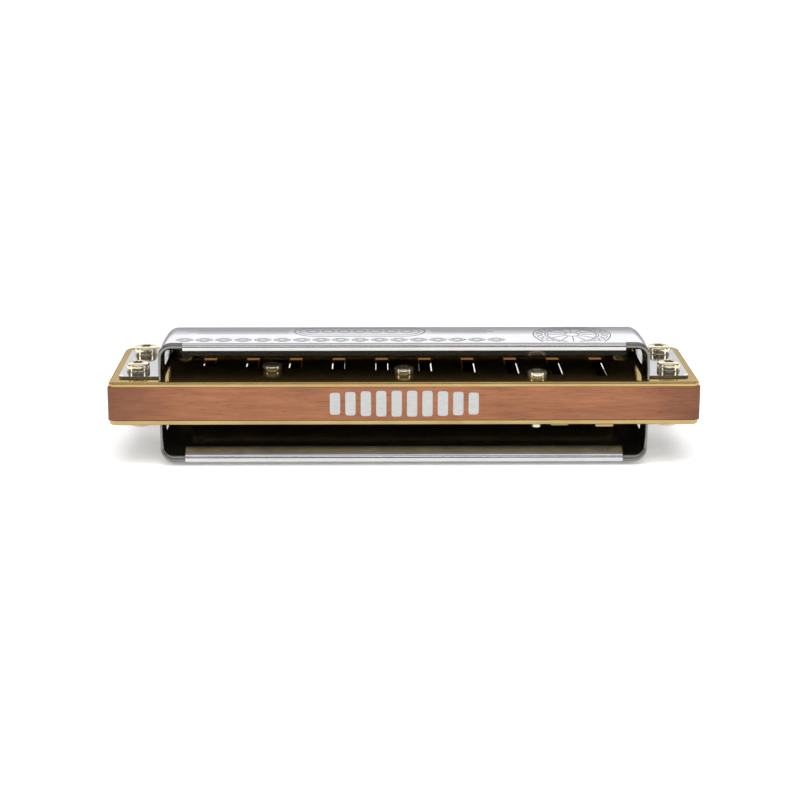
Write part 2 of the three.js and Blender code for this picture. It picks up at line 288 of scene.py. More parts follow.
PEARWOOD = pearwood()
PLATE_BRASS = metal(
    "plate_brass", (0.44, 0.31, 0.12), (0.52, 0.38, 0.16), shine=(0.03, 0.08), stretch=(1, 30, 30),
    scale=130, relief=0.03, metallic=0.92, Specular_Tint=(0.92, 0.82, 0.62, 1))
SLOT_END_GLOW = cut_brass()
REED_BRASS = metal("reed_brass", (0.42, 0.30, 0.12), (0.50, 0.38, 0.18), shine=(0.2, 0.3), **FILED)
# Near-black brass for the blow reeds: painted shade that keeps the inside of the cover dark.
SHADED_BLOW_REED_BRASS = metal(
    "blow_reed_painted_shade", (0.04, 0.03, 0.015), (0.07, 0.05, 0.025), shine=(0.25, 0.4), **FILED,
    Specular_Tint=(0.2, 0.15, 0.1, 1))
RIVET_BRASS = metal(
    "rivet_brass", (0.80, 0.70, 0.46), (0.90, 0.80, 0.58), shine=(0.14, 0.22), **TURNED, relief=0.1,
    metallic=0.6)
COVER_STEEL = metal(
    "cover_steel", (0.64, 0.635, 0.63), (0.70, 0.695, 0.69), shine=(0.03, 0.08), **ROLLED, relief=0.015)
# Steel painted dark: painted shade for the inside of the covers and for their folded and curled back edges.
SHADE_PAINTED_STEEL = metal(
    "steel_painted_shade", (0.19, 0.185, 0.17), (0.26, 0.255, 0.24), shine=(0.06, 0.14), **ROLLED, relief=0.02,
    metallic=0.9)
SCREW_NICKEL = metal(
    "screw_nickel", (0.74, 0.66, 0.47), (0.82, 0.74, 0.55), shine=(0.1, 0.16), **TURNED, relief=0.02,
    metallic=0.96)
SATIN_NICKEL = metal(
    "satin_nickel", (0.74, 0.68, 0.52), (0.82, 0.76, 0.60), shine=(0.1, 0.16), **TURNED, relief=0.02,
    metallic=0.82)
ETCHED_STEEL = engraved()
WHITE_INK = print_ink()

# ---------------------------------------------------------------- from meshes to pieces


def clean(bm):
    """Joins vertices that share a place, drops faces without area and turns the normals outwards."""
    bmesh.ops.remove_doubles(bm, verts=bm.verts, dist=MERGE_DISTANCE)
    bmesh.ops.dissolve_degenerate(bm, edges=bm.edges, dist=MERGE_DISTANCE)
    bmesh.ops.recalc_face_normals(bm, faces=bm.faces)


def absorb(bm, part):
    """Adds a second bmesh to the first, and frees it."""
    mesh = bpy.data.meshes.new("absorbed")
    part.to_mesh(mesh)
    part.free()
    bm.from_mesh(mesh)
    bpy.data.meshes.remove(mesh)


def finished(bm, name, material, replaces=(), body="harp", smooth_below=34):
    """A mesh in millimetres becomes a smooth-shaded piece in the part's frame that rides on its body.
    Edges that turn by more than smooth_below degrees stay sharp."""
    clean(bm)
    mesh = bpy.data.meshes.new(name)
    bm.to_mesh(mesh)
    bm.free()
    mesh.transform(Matrix.Translation((0, 0, MIDDLE_M)) @ Matrix.Scale(MM, 4))
    mesh.polygons.foreach_set("use_smooth", [True] * len(mesh.polygons))
    mesh.set_sharp_from_angle(angle=math.radians(smooth_below))
    mesh.materials.append(material)
    piece = bpy.data.objects.new(name, mesh)
    bpy.context.scene.collection.objects.link(piece)
    if replaces:
        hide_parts(*replaces)
    if body:
        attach(piece, body)
    return piece


def even_shading(piece):
    """Keeps large flat faces flat in the shading, so that their reflections stay straight."""
    modifier = piece.modifiers.new("even_shading", "WEIGHTED_NORMAL")
    modifier.keep_sharp = True
    modifier.weight = 100


def quad_strip(bm, lower, upper, closed=True):
    """Faces between two rows of vertices of the same length."""
    count = len(lower) if closed else len(lower) - 1
    for i in range(count):
        j = (i + 1) % len(lower)
        corners = [lower[i], lower[j], upper[j], upper[i]]
        distinct = [v for k, v in enumerate(corners) if v not in corners[:k]]
        if len(distinct) > 2:
            bm.faces.new(distinct)


def arc(x, y, radius, start, end, steps):
    """Points on an arc, angles in degrees."""
    angles = [math.radians(start + (end - start) * k / steps) for k in range(steps + 1)]
    return [(x + radius * math.cos(a), y + radius * math.sin(a)) for a in angles]


def circle(x, y, radius, steps=40):
    """A full ring of points, anticlockwise."""
    return arc(x, y, radius, 0, 360 * (steps - 1) / steps, steps - 1)


def rounded_rectangle(left, right, front, back, front_radius, back_radius=None, steps=8):
    """A plan ring, anticlockwise from the front left corner. A radius of 0 leaves a square corner."""
    back_radius = front_radius if back_radius is None else back_radius
    corners = [
        (left + front_radius, front + front_radius, front_radius, 180),
        (right - front_radius, front + front_radius, front_radius, 270),
        (right - back_radius, back - back_radius, back_radius, 0),
        (left + back_radius, back - back_radius, back_radius, 90),
    ]
    ring = []
    for x, y, radius, start in corners:
        ring += arc(x, y, radius, start, start + 90, steps) if radius else [(x, y)]
    return ring


def rounded_slot(left, right, front, back, steps=8):
    """A plan ring with round ends left and right, whose points still lie a little apart."""
    radius = (back - front) / 2 - 0.01
    return rounded_rectangle(left, right, front, back, radius, steps=steps)


def inset(ring, amount):
    """An anticlockwise ring moved inwards by an amount, or outwards if it is negative."""
    moved = []
    for i, (x, y) in enumerate(ring):
        before, after = Vector(ring[i - 1]), Vector(ring[(i + 1) % len(ring)])
        along_in = (Vector((x, y)) - before).normalized()
        along_out = (after - Vector((x, y))).normalized()
        normal_in, normal_out = (Vector((-v.y, v.x)) for v in (along_in, along_out))
        shift = (normal_in + normal_out) * (amount / (1 + normal_in.dot(normal_out)))
        moved.append((x + shift.x, y + shift.y))
    return moved


def edge_profile(bottom, top, bottom_radius, top_radius, steps=4):
    """(inset, height) pairs up an edge that is rounded below and above."""
    lower, upper = [], []
    for k in range(steps + 1):
        sine, cosine = math.sin(math.pi / 2 * k / steps), math.cos(math.pi / 2 * k / steps)
        lower.append((bottom_radius * (1 - sine), bottom + bottom_radius * (1 - cosine)))
        upper.append((top_radius * (1 - cosine), top - top_radius * (1 - sine)))
    return lower + upper


def slab(outline, holes, edge, hole_edge):
    """A flat piece with holes: each edge profile lists (inset, height) from the bottom to the top."""
    bm = bmesh.new()
    ends = []
    for ring, profile in [(outline, edge)] + [(hole, hole_edge) for hole in holes]:
        rows = []
        for amount, height in profile:
            rows.append([bm.verts.new((*point, height)) for point in inset(ring, amount)])
        for lower, upper in zip(rows, rows[1:]):
            quad_strip(bm, lower, upper)
        ends.append((rows[0], rows[-1]))
    for face in (0, 1):
        loops = [pair[face] for pair in ends]
        vertices = [v for loop in loops for v in loop]
        for triangle in tessellate_polygon([[v.co for v in loop] for loop in loops]):
            bm.faces.new([vertices[i] for i in triangle])
    return bm


LOBES = 6


def turned(profile, x, y, steps=72):
    """A turned piece about an upright axis. The profile lists (radius, height, lobe), axis to axis,
    and lobe is the share by which the recess's lobes widen the radius."""
    bm = bmesh.new()
    rows = []
    for radius, height, lobe in profile:
        if radius == 0:
            rows.append([bm.verts.new((x, y, height))] * steps)
            continue
        row = []
        for k in range(steps):
            angle = 2 * math.pi * k / steps
            reach = radius * (1 + lobe * math.cos(LOBES * angle))
            row.append(bm.verts.new((x + reach * math.cos(angle), y + reach * math.sin(angle), height)))
        rows.append(row)
    for lower, upper in zip(rows, rows[1:]):
        quad_strip(bm, lower, upper)
    return bm


def plan_centre(node):
    """The middle of a CAD node in plan."""
    low, high = box_mm(node)
    return (low.x + high.x) / 2, (low.y + high.y) / 2


# ---------------------------------------------------------------- comb


def comb_outline():
    """The comb in plan: rounded corners, and ten channels cut in from the front."""
    left, right, front, back = COMB_LOW.x, COMB_HIGH.x, COMB_LOW.y, COMB_HIGH.y
    corner = COMB_FRONT_CORNER
    ring = arc(left + corner, front + corner, corner, 180, 270, 8)
    half, inner_corner = CHANNEL_HALF_WIDTH, CHANNEL_CORNER
    for hole in HOLES:
        x, _ = plan_centre(f"draw_reed_{hole}")
        turn_y = draw_root(hole) + CHANNEL_BEHIND_REED - REED_TIP_GAP - inner_corner
        ring.append((x - half, front))
        ring += arc(x - half + inner_corner, turn_y, inner_corner, 180, 90, 6)
        ring += arc(x + half - inner_corner, turn_y, inner_corner, 90, 0, 6)
        ring.append((x + half, front))
    ring += arc(right - corner, front + corner, corner, 270, 360, 8)
    corner = COMB_BACK_CORNER
    ring += arc(right - corner, back - corner, corner, 0, 90, 8)
    ring += arc(left + corner, back - corner, corner, 90, 180, 8)
    return ring


def draw_root(hole):
    """Where a draw reed's tongue leaves its pad; the slot of the blow reed above ends there too."""
    return box_mm(f"draw_reed_{hole}")[1].y - REED_PAD_LENGTH


def blow_root(hole):
    """Where a blow reed's tongue leaves its pad, near the front."""
    return box_mm(f"blow_reed_{hole}")[0].y + REED_PAD_LENGTH


COVER_SCREWS = [f"{side}_{row}" for side in ("left", "right") for row in ("back", "front")]
PLATE_SCREWS = ["back_left", "back_middle", "back_right", "front_left", "front_right"]


def screw_holes(steps=32):
    """The holes that the screws need through the comb and the plates, as plan rings."""
    holes = []
    for kind, names, radius in (
        ("cover_screw", COVER_SCREWS, COVER_SCREW_HOLE),
        ("plate_screw", PLATE_SCREWS, PLATE_SCREW_HOLE),
    ):
        holes += [circle(*plan_centre(f"{kind}_{name}"), radius, steps) for name in names]
    return holes


def build_comb():
    """The wooden comb with eased edges."""
    edge = edge_profile(-COMB_TOP, COMB_TOP, COMB_EDGE, COMB_EDGE)
    hole_edge = edge_profile(-COMB_TOP, COMB_TOP, COMB_HOLE_EDGE, COMB_HOLE_EDGE, steps=1)
    bm = slab(comb_outline(), screw_holes(16), edge, hole_edge)
    even_shading(finished(bm, "comb_fine", PEARWOOD, ["comb"]))


# ---------------------------------------------------------------- reed plates, reeds and rivets


def build_plate(side):
    """A brass plate with ten slots. Its outer face has a broad rounding and its inner face lies on the
    comb. The upper part of each slot's front end glows orange with painted light, which shows under the
    cover."""
    node = f"{side}_reed_plate"
    low, high = box_mm(node)
    outline = rounded_rectangle(low.x, high.x, low.y, high.y, PLATE_FRONT_CORNER, PLATE_BACK_CORNER)
    slots = []
    for hole in HOLES:
        x, _ = plan_centre(f"{side}_reed_{hole}")
        left, right = x - SLOT_HALF_WIDTH, x + SLOT_HALF_WIDTH
        slots.append(rounded_rectangle(left, right, blow_root(hole), draw_root(hole), 0))
    rivet_holes = [circle(*plan_centre(f"{side}_rivet_{hole}"), RIVET_HOLE, 24) for hole in HOLES]
    radii = [PLATE_INNER_EDGE, PLATE_OUTER_EDGE] if side == "blow" else [PLATE_OUTER_EDGE, PLATE_INNER_EDGE]
    edge = edge_profile(low.z, high.z, *radii, steps=5)
    glow_from = low.z + GLOW_FROM_SHARE * (high.z - low.z)
    slot_edge = [(-SLOT_EDGE, low.z), (0, low.z + SLOT_EDGE), (0, glow_from)]
    slot_edge += [(0, high.z - SLOT_EDGE), (-SLOT_EDGE, high.z)]
    bm = slab(outline, slots + screw_holes() + rivet_holes, edge, slot_edge)
    plate = finished(bm, f"{node}_fine", PLATE_BRASS, [node])
    plate.data.materials.append(SLOT_END_GLOW)
    back_rim = (BACK_Y - 0.5) * MM
    # The upper part of each slot end gets the orange glowing material, which is painted light.
    for face in plate.data.polygons:
        is_glowing_slot_end = face.normal.y > 0.99 and abs(face.center.y) < back_rim
        face.material_index = int(is_glowing_slot_end and face.center.z > MIDDLE_M + glow_from * MM)
    even_shading(plate)


REED_STEPS = 16
THINNED_SHARE = 10 / 11


def build_reed(side, hole):
    """A milled brass strip: a broad riveted pad, a short neck, and a tongue ground thinner in the middle.
    Each station along it is (distance from the root, half width, thickness)."""
    node = f"{side}_reed_{hole}"
    low, high = box_mm(node)
    x, _ = plan_centre(node)
    is_blow = side == "blow"
    root = blow_root(hole) if is_blow else draw_root(hole)
    towards_tip = 1 if is_blow else -1
    tip = high.y if is_blow else low.y
    length = abs(tip - root)
    pad_half, pad = (high.x - low.x) / 2, high.z - low.z
    full, corner = REED_THICKNESS, REED_PAD_CORNER
    stations = [(-REED_PAD_LENGTH, pad_half - corner, pad), (-REED_PAD_LENGTH + corner, pad_half, pad)]
    stations += [(-REED_PAD_END, pad_half, pad), (-REED_STEP_END, pad_half - REED_PAD_TAPER, full)]
    stations += [(-REED_NECK_START, REED_HALF_WIDTH + REED_NECK_FLARE, full), (0, REED_HALF_WIDTH, full)]
    for k in range(1, REED_STEPS + 1):
        share = k / REED_STEPS
        thinned = share < THINNED_SHARE
        ground = REED_THINNING * math.sin(math.pi * share / THINNED_SHARE) if thinned else 0
        stations.append((share * length, REED_HALF_WIDTH, full * (1 - ground)))
    bm = bmesh.new()
    rows = []
    for along, half, thick in stations:
        y = root + towards_tip * along
        outline = rounded_rectangle(x - half, x + half, high.z - thick, high.z, REED_EDGE, steps=1)
        rows.append([bm.verts.new((across, y, height)) for across, height in outline])
    for lower, upper in zip(rows, rows[1:]):
        quad_strip(bm, lower, upper)
    bm.faces.new(rows[0])
    bm.faces.new(rows[-1])
    # The blow reeds get brass painted near black with shade.
    brass = SHADED_BLOW_REED_BRASS if is_blow else REED_BRASS
    reed = finished(bm, f"{node}_fine", brass, [node], body=None)
    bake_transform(reed)


def build_rivet(side, hole):
    """A brass rivet: a domed head with a flat on the pad, and a shank flush with the far face."""
    node = f"{side}_rivet_{hole}"
    low, high = box_mm(node)
    x, y = plan_centre(node)
    radius = (high.x - low.x) / 2
    under = low.z + RIVET_HEAD
    dome = [(0, 0), (0.35, 0.01), (0.6, 0.05), (0.82, 0.14), (0.95, 0.28), (1, 0.42)]
    profile = [(share * radius, low.z + rise, 0) for share, rise in dome]
    profile += [(radius, under, 0), (RIVET_SHANK, under, 0), (RIVET_SHANK, high.z, 0), (0, high.z, 0)]
    finished(turned(profile, x, y, 36), f"{node}_fine", RIVET_BRASS, [node])


# ---------------------------------------------------------------- covers


def arch(y):
    """The height of a cover's outer face over the comb's middle, at a depth."""
    away = max(0.0, abs(y - CREST_Y) - CREST_HALF_FLAT)
    return COVER_HIGH.z - ARCH_RADIUS + math.sqrt(ARCH_RADIUS**2 - away**2)


def quarter_drop(distance, radius):
    """How far a rounded corner falls away, a distance before the end of its radius."""
    inside = min(radius, max(0.0, radius - distance))
    return radius - math.sqrt(radius**2 - inside**2)


WALL_LEVELS = [PLATE_TOP + FOOT_GAP, PLATE_TOP + SHEET, PLATE_TOP + SHEET + FLANGE_BEND]
SHOULDER_STEPS = 10
ROOF_STEPS = 10


def section(y, lowered=0.0):
    """The dome's outer line across the length at a depth, from the left wall's foot to the right's."""
    front = COVER_LOW.y
    half = WALL_X - quarter_drop(y - front, COVER_CORNER)
    top = arch(y) - quarter_drop(y - front, FRONT_FILLET) - lowered
    foot = WALL_LEVELS[0]
    radius = max(0.0, min(SHOULDER, arch(y) - WALL_LEVELS[-1] - SHOULDER_GAP, top - foot))
    start = top - radius
    levels = [min(level, start) for level in WALL_LEVELS]
    levels += [levels[-1] + (start - levels[-1]) * k / 3 for k in (1, 2)]
    line = [(half, level) for level in levels]
    for k in range(SHOULDER_STEPS + 1):
        turn = math.pi / 2 * k / SHOULDER_STEPS
        line.append((half - radius + radius * math.cos(turn), start + radius * math.sin(turn)))
    span = min(TAB_HALF_LENGTH, half - radius)
    line.append((span, top))
    roof = [(span * (2 * k / ROOF_STEPS - 1), top) for k in range(1, ROOF_STEPS)]
    return [(-x, z) for x, z in line] + roof + line[::-1]


FOOT_COLUMNS = len(WALL_LEVELS) - 1
WALL_COLUMNS = len(WALL_LEVELS) + 2
TAB_COLUMN = WALL_COLUMNS + SHOULDER_STEPS + 1


def depth_stations():
    """Depths from the start of the back fold to the front, closer together round the front corners."""
    front = COVER_LOW.y
    back = BACK_Y - FOLD_RADIUS
    edges = [back, FLANGE_BACK_Y, CREST_Y + CREST_HALF_FLAT, CREST_Y - CREST_HALF_FLAT, FLANGE_FRONT_Y]
    counts = [3, 3, 2, 16]
    stations = []
    for start, end, count in zip(edges, edges[1:], counts):
        stations += [start + (end - start) * k / count for k in range(count)]
    stations.append(FLANGE_FRONT_Y)
    rounding = [front + COVER_CORNER * (1 - math.sin(math.radians(a))) for a in range(20, 91, 7)]
    least_step = 0.05
    return stations + [y for y in rounding if y < FLANGE_FRONT_Y - least_step] + [front]


BEND_STEPS = 10


def fold(point, outward, scale, width):
    """The sheet's outer line where it folds back from the edge: a bend, then a flat strip.
    point is the edge, outward the dome's normal there, and scale shrinks the whole fold."""
    radius = FOLD_RADIUS * scale
    path = []
    for k in range(1, BEND_STEPS + 1):
        angle = FOLD_TURN * k / BEND_STEPS
        path.append((radius * math.sin(angle), radius * (1 - math.cos(angle))))
    behind, inwards = path[-1]
    for k in (1, 2, 3):
        run = width * scale * k / 3
        path.append((behind + run * math.cos(FOLD_TURN), inwards + run * math.sin(FOLD_TURN)))
    return [(point[0] - outward[0] * i, point[1] + b, point[2] - outward[1] * i) for b, i in path]


def sheet_vertex(bm, point, thickness):
    """A vertex on the sheet's outer face with its share of the full thickness. One made before stays."""
    if isinstance(point, bmesh.types.BMVert):
        return point
    vertex = bm.verts.new(point)
    vertex[bm.verts.layers.deform.active][0] = thickness
    return vertex


def grid(bm, rows, thickness=None, keep=lambda row, column: True, painted_dark=lambda column: False):
    """Faces over rows of points, without those that keep says no to; the columns that the last test picks
    get the steel painted with shade.
    """
    thickness = thickness or [1.0] * len(rows)
    vertices = [[sheet_vertex(bm, point, share) for point in row] for row, share in zip(rows, thickness)]
    for i in range(len(rows) - 1):
        for j in range(len(rows[0]) - 1):
            if keep(i, j):
                corners = [vertices[i][j], vertices[i][j + 1], vertices[i + 1][j + 1], vertices[i + 1][j]]
                bm.faces.new(corners).material_index = int(painted_dark(j))
    return vertices


def dome_surface(bm):
    """The dome's outer face, without the foot of the walls where the flanges bend away."""
    depths = depth_stations()
    rows = [[(x, y, z) for x, z in section(y)] for y in depths]
    lip_height = rows[-1][len(rows[-1]) // 2][2] - WALL_LEVELS[0]
    for share in (0.5, 1.0):
        rows.append([(x, depths[-1], z) for x, z in section(depths[-1], lip_height * share)])
    last = len(rows[0]) - 2

    def keep(row, column):
        is_level = row + 1 < len(depths)
        beside_flange = is_level and FLANGE_FRONT_Y <= depths[row + 1] and depths[row] <= FLANGE_BACK_Y
        return not (beside_flange and (column < FOOT_COLUMNS or column > last - FOOT_COLUMNS))

    return grid(bm, rows, keep=keep)[0]


def curl_row(edge, column):
    """The narrow curl's line at one column of an end, and its share of the sheet's thickness."""
    foot = len(WALL_LEVELS)
    share = max(0.0, (column - foot) / (TAB_COLUMN - foot))
    scale = CURL_SMALLEST + (CURL_LARGEST - CURL_SMALLEST) * math.sin(math.pi / 2 * share)
    turn = math.pi / 2 * max(0.0, min(1.0, (column - WALL_COLUMNS) / SHOULDER_STEPS))
    side = -1 if edge.co.x < 0 else 1
    outward = (side * math.cos(turn), math.sin(turn))
    thickest = 0.9 * FOLD_RADIUS * scale
    return [edge, *fold(edge.co, outward, scale, CURL_WIDTH)], min(1.0, thickest / SHEET)


def back_edge(bm, edge):
    """The folded back edge: a wide tab along the roof, and a narrower curl that dies away down each end."""
    last = len(edge) - 1
    roof_edge = edge[TAB_COLUMN:last - TAB_COLUMN + 1]
    tab = [[vertex, *fold(vertex.co, (0, 1), 1, TAB_WIDTH)] for vertex in roof_edge]
    # The tab's strip beyond the bend gets the steel painted with shade.
    grid(bm, tab, painted_dark=lambda column: column >= BEND_STEPS)
    columns = range(TAB_COLUMN, -1, -1)
    for end in ([edge[i] for i in columns], [edge[last - i] for i in columns]):
        rows, thickness = zip(*(curl_row(vertex, column) for vertex, column in zip(end, columns)))
        # The curls get the steel painted with shade all over.
        grid(bm, rows, thickness, painted_dark=lambda column: True)


def flange_surface(bm, side):
    """An end flange: the wall's foot bends outwards into a flat strip with rounded corners."""
    outer, corner, steps = COVER_HIGH.x, FLANGE_CORNER, 5
    profile = [(WALL_X, WALL_LEVELS[-1])]
    for k in range(1, steps + 1):
        angle = math.pi / 2 * k / steps
        across, down = FLANGE_BEND * (1 - math.cos(angle)), FLANGE_BEND * math.sin(angle)
        profile.append((WALL_X + across, WALL_LEVELS[-1] - down))
    flat_start = profile[-1][0]
    flat = [flat_start + (outer - corner - flat_start) * k / 4 for k in range(1, 5)]
    flat += [outer - corner + corner * math.sin(math.radians(a)) for a in (15, 30, 45, 60, 75, 90)]
    profile += [(x, WALL_LEVELS[1]) for x in flat]
    depths = [y for y in depth_stations() if FLANGE_FRONT_Y <= y <= FLANGE_BACK_Y]
    middle = (FLANGE_FRONT_Y + FLANGE_BACK_Y) / 2
    half = (FLANGE_BACK_Y - FLANGE_FRONT_Y) / 2
    rows = []
    for y in depths:
        row = []
        for x, z in profile:
            pulled = quarter_drop(outer - x, corner)
            row.append((side * x, middle + (y - middle) * (half - pulled) / half, z))
        rows.append(row)
    grid(bm, rows)


def apply_modifiers(piece):
    """Replaces the piece's mesh by what its modifiers make of it."""
    graph = bpy.context.evaluated_depsgraph_get()
    graph.update()
    mesh = bpy.data.meshes.new_from_object(piece.evaluated_get(graph))
    piece.modifiers.clear()
    piece.data = mesh


def working_object(name, bm):
    """A linked object that holds a mesh while modifiers are applied to it."""
    mesh = bpy.data.meshes.new(name)
    bm.to_mesh(mesh)
    bm.free()
    holder = bpy.data.objects.new(name, mesh)
    bpy.context.scene.collection.objects.link(holder)
    return holder


def cutter(bm):
    """A working object that a boolean cuts with, in the same millimetre frame as the cover."""
    bmesh.ops.recalc_face_normals(bm, faces=bm.faces)
    return working_object("cutter", bm)


def vent_cutter(side):
    """A slot with round ends through an end wall, drawn in the wall's plane and stood up."""
    ring = rounded_slot(VENT_LOW.y, VENT_HIGH.y, VENT_LOW.z, VENT_HIGH.z)
    bm = slab(ring, [], [(0, VENT_LOW.x), (0, VENT_HIGH.x)], [])
    for v in bm.verts:
        y, z, x = v.co
        v.co = (side * x, y, z)
    return cutter(bm)


def hole_cutter(x, y):
    """A round bar that cuts a screw's hole through a flange."""
    return cutter(slab(circle(x, y, COVER_SCREW_HOLE), [], [(0, PLATE_TOP - 1), (0, PLATE_TOP + 1)], []))


def thickened_sheet():
    """The cover as one bent sheet, bright outside and painted with shade inside, before its holes are cut.
    """
    bm = bmesh.new()
    bm.verts.layers.deform.verify()
    back_edge(bm, dome_surface(bm))
    for side in (-1, 1):
        flange_surface(bm, side)
    clean(bm)
    roof = max(bm.faces, key=lambda face: face.calc_center_median().z)
    if roof.normal.z < 0:
        bmesh.ops.reverse_faces(bm, faces=bm.faces)
    sheet = working_object("sheet", bm)
    for material in (COVER_STEEL, SHADE_PAINTED_STEEL):
        sheet.data.materials.append(material)
    sheet.vertex_groups.new(name="thickness")
    thick = sheet.modifiers.new("thick", "SOLIDIFY")
    thick.thickness = SHEET
    thick.offset = -1
    thick.vertex_group = "thickness"
    # The inner face and the rims get the steel painted with shade.
    thick.material_offset = 1
    thick.material_offset_rim = 1
    rounded = sheet.modifiers.new("rounded", "BEVEL")
    rounded.width = SHEET_EDGE_ROUNDING
    rounded.segments = 2
    rounded.limit_method = "ANGLE"
    rounded.angle_limit = math.radians(60)
    apply_modifiers(sheet)
    return sheet


def build_cover(node, up):
    """A cover with its vents and screw holes. up is 1 for the top cover and -1 for its mirror image."""
    sheet = thickened_sheet()
    tools = [vent_cutter(-1), vent_cutter(1)]
    tools += [hole_cutter(*plan_centre(f"cover_screw_{name}")) for name in COVER_SCREWS]
    for tool in tools:
        cut = sheet.modifiers.new("cut", "BOOLEAN")
        cut.operation = "DIFFERENCE"
        cut.solver = "EXACT"
        cut.object = tool
    apply_modifiers(sheet)
    bm = bmesh.new()
    bm.from_mesh(sheet.data)
    for leftover in (sheet, *tools):
        bpy.data.objects.remove(leftover)
    for v in bm.verts:
        v.co.z *= up
    cover = finished(bm, f"{node}_fine", COVER_STEEL, [node])
    # The second material is the steel painted with shade.
    cover.data.materials.append(SHADE_PAINTED_STEEL)
    even_shading(cover)


# ---------------------------------------------------------------- etched and printed decoration

ETCH_PROUD = 0.012
ETCH_SUNK = 0.05
FOLD_CLEARANCE = 0.2


def ribbon(bm, path, width, closed=False):
    """A thin etched line along a plan path, laid on the arch of the top cover."""
    rows = []
    count = len(path)
    for i, (x, y) in enumerate(path):
        before = Vector(path[i - 1] if closed or i else path[0])
        after = Vector(path[(i + 1) % count] if closed or i + 1 < count else path[-1])
        along = (after - before).normalized()
        across = Vector((-along.y, along.x)) * (width / 2)
        left, right = (x + across.x, y + across.y), (x - across.x, y - across.y)
        corners = [(*left, ETCH_PROUD), (*right, ETCH_PROUD), (*right, -ETCH_SUNK), (*left, -ETCH_SUNK)]
        rows.append([bm.verts.new((px, py, arch(py) + lift)) for px, py, lift in corners])
    pairs = list(zip(rows, rows[1:]))
    if closed:
        pairs.append((rows[-1], rows[0]))
    for lower, upper in pairs:
        quad_strip(bm, lower, upper)
    if not closed:
        bm.faces.new(rows[0])
        bm.faces.new(rows[-1])


def ribbon_clear_of_fold(bm, path, width, closed=True):
    """A ribbon along the part of a path that lies in front of the back fold."""
    limit = BACK_Y - FOLD_RADIUS - FOLD_CLEARANCE
    inside = [y < limit for _, y in path]
    if all(inside):
        ribbon(bm, path, width, closed)
        return
    if closed and any(inside):
        start = inside.index(False)
        path, inside = path[start:] + path[:start], inside[start:] + inside[:start]
    kept = [point for point, clear in zip(path, inside) if clear]
    if len(kept) > 1:
        ribbon(bm, kept, width)


def along_x(x_start, x_end, y, steps=2):
    """A straight path across the cover."""
    return [(x_start + (x_end - x_start) * k / steps, y) for k in range(steps + 1)]


def capsule(x, y, width, depth):
    """A rectangle with round ends."""
    return rounded_slot(x - width / 2, x + width / 2, y - depth / 2, y + depth / 2, steps=16)


def leaf(x, y, width, depth, steps=10):
    """A pointed oval, its points left and right."""
    shares = [k / steps for k in range(steps + 1)]
    upper = [(x - width / 2 + width * s, y + depth / 2 * math.sin(math.pi * s)) for s in shares]
    lower = [(x + width / 2 - width * s, y - depth / 2 * math.sin(math.pi * s)) for s in shares]
    return upper[:-1] + lower[:-1]


def around(x, y, radius, count):
    """Evenly spaced places on a circle, each as (angle, x, y)."""
    angles = [2 * math.pi * k / count for k in range(count)]
    return [(a, x + radius * math.cos(a), y + radius * math.sin(a)) for a in angles]


def etch_capsule(bm, x, y):
    """A double capsule filled with leaves, and ruled lines to its left and right."""
    ribbon(bm, capsule(x, y, 22.4, 7.4), 0.2, closed=True)
    ribbon(bm, capsule(x, y, 20.6, 5.6), 0.12, closed=True)
    clear, left_share = 12.2, 0.62
    for line_y, length in ((y + 1.4, 15.5), (y + 0.4, 17.5), (y - 0.6, 15.5)):
        ribbon(bm, along_x(x - clear, x - clear - left_share * length, line_y), 0.16)
        ribbon(bm, along_x(x + clear, x + clear + length, line_y), 0.16)
    leaves, pitch = 7, 2.7
    for k in range(leaves):
        ribbon(bm, leaf(x + (k - (leaves - 1) / 2) * pitch, y, 2.2, 2.6), 0.16, closed=True)


def etch_frieze(bm, x, y):
    """A row of double leaves from x along the back edge."""
    leaves, pitch = 17, 3.3
    for k in range(leaves):
        ribbon(bm, leaf(x + k * pitch, y, 2.9, 1.7), 0.18, closed=True)
        ribbon(bm, leaf(x + k * pitch, y, 1.7, 0.8), 0.14, closed=True)


def etch_rosette(bm, x, y):
    """Rings, a band of small circles and twelve rays, cut off by the back fold."""
    for radius, width in ((6.6, 0.2), (4.6, 0.15), (4.2, 0.15), (1.2, 0.16)):
        ribbon_clear_of_fold(bm, circle(x, y, radius, 96), width)
    for _, bead_x, bead_y in around(x, y, 5.6, 24):
        ribbon_clear_of_fold(bm, circle(bead_x, bead_y, 0.55, 24), 0.13)
    ray_start, ray_length, ray_steps = 1.5, 2.5, 8
    for angle, _, _ in around(x, y, 1, 12):
        reach = [ray_start + ray_length * step / ray_steps for step in range(ray_steps + 1)]
        ray = [(x + r * math.cos(angle), y + r * math.sin(angle)) for r in reach]
        ribbon_clear_of_fold(bm, ray, 0.15, closed=False)


def build_etching():
    """Plain ornament on the top cover."""
    bm = bmesh.new()
    etch_capsule(bm, x=7.6, y=6.0)
    etch_frieze(bm, x=-15.6, y=11.6)
    etch_rosette(bm, x=-28.7, y=8.6)
    finished(bm, "top_cover_etching", ETCHED_STEEL)


NUMBER_HEIGHT = 2.3
NUMBER_BASELINE = -10.4
NUMBER_CUTS = 8
DIGIT_SHARE = 0.7


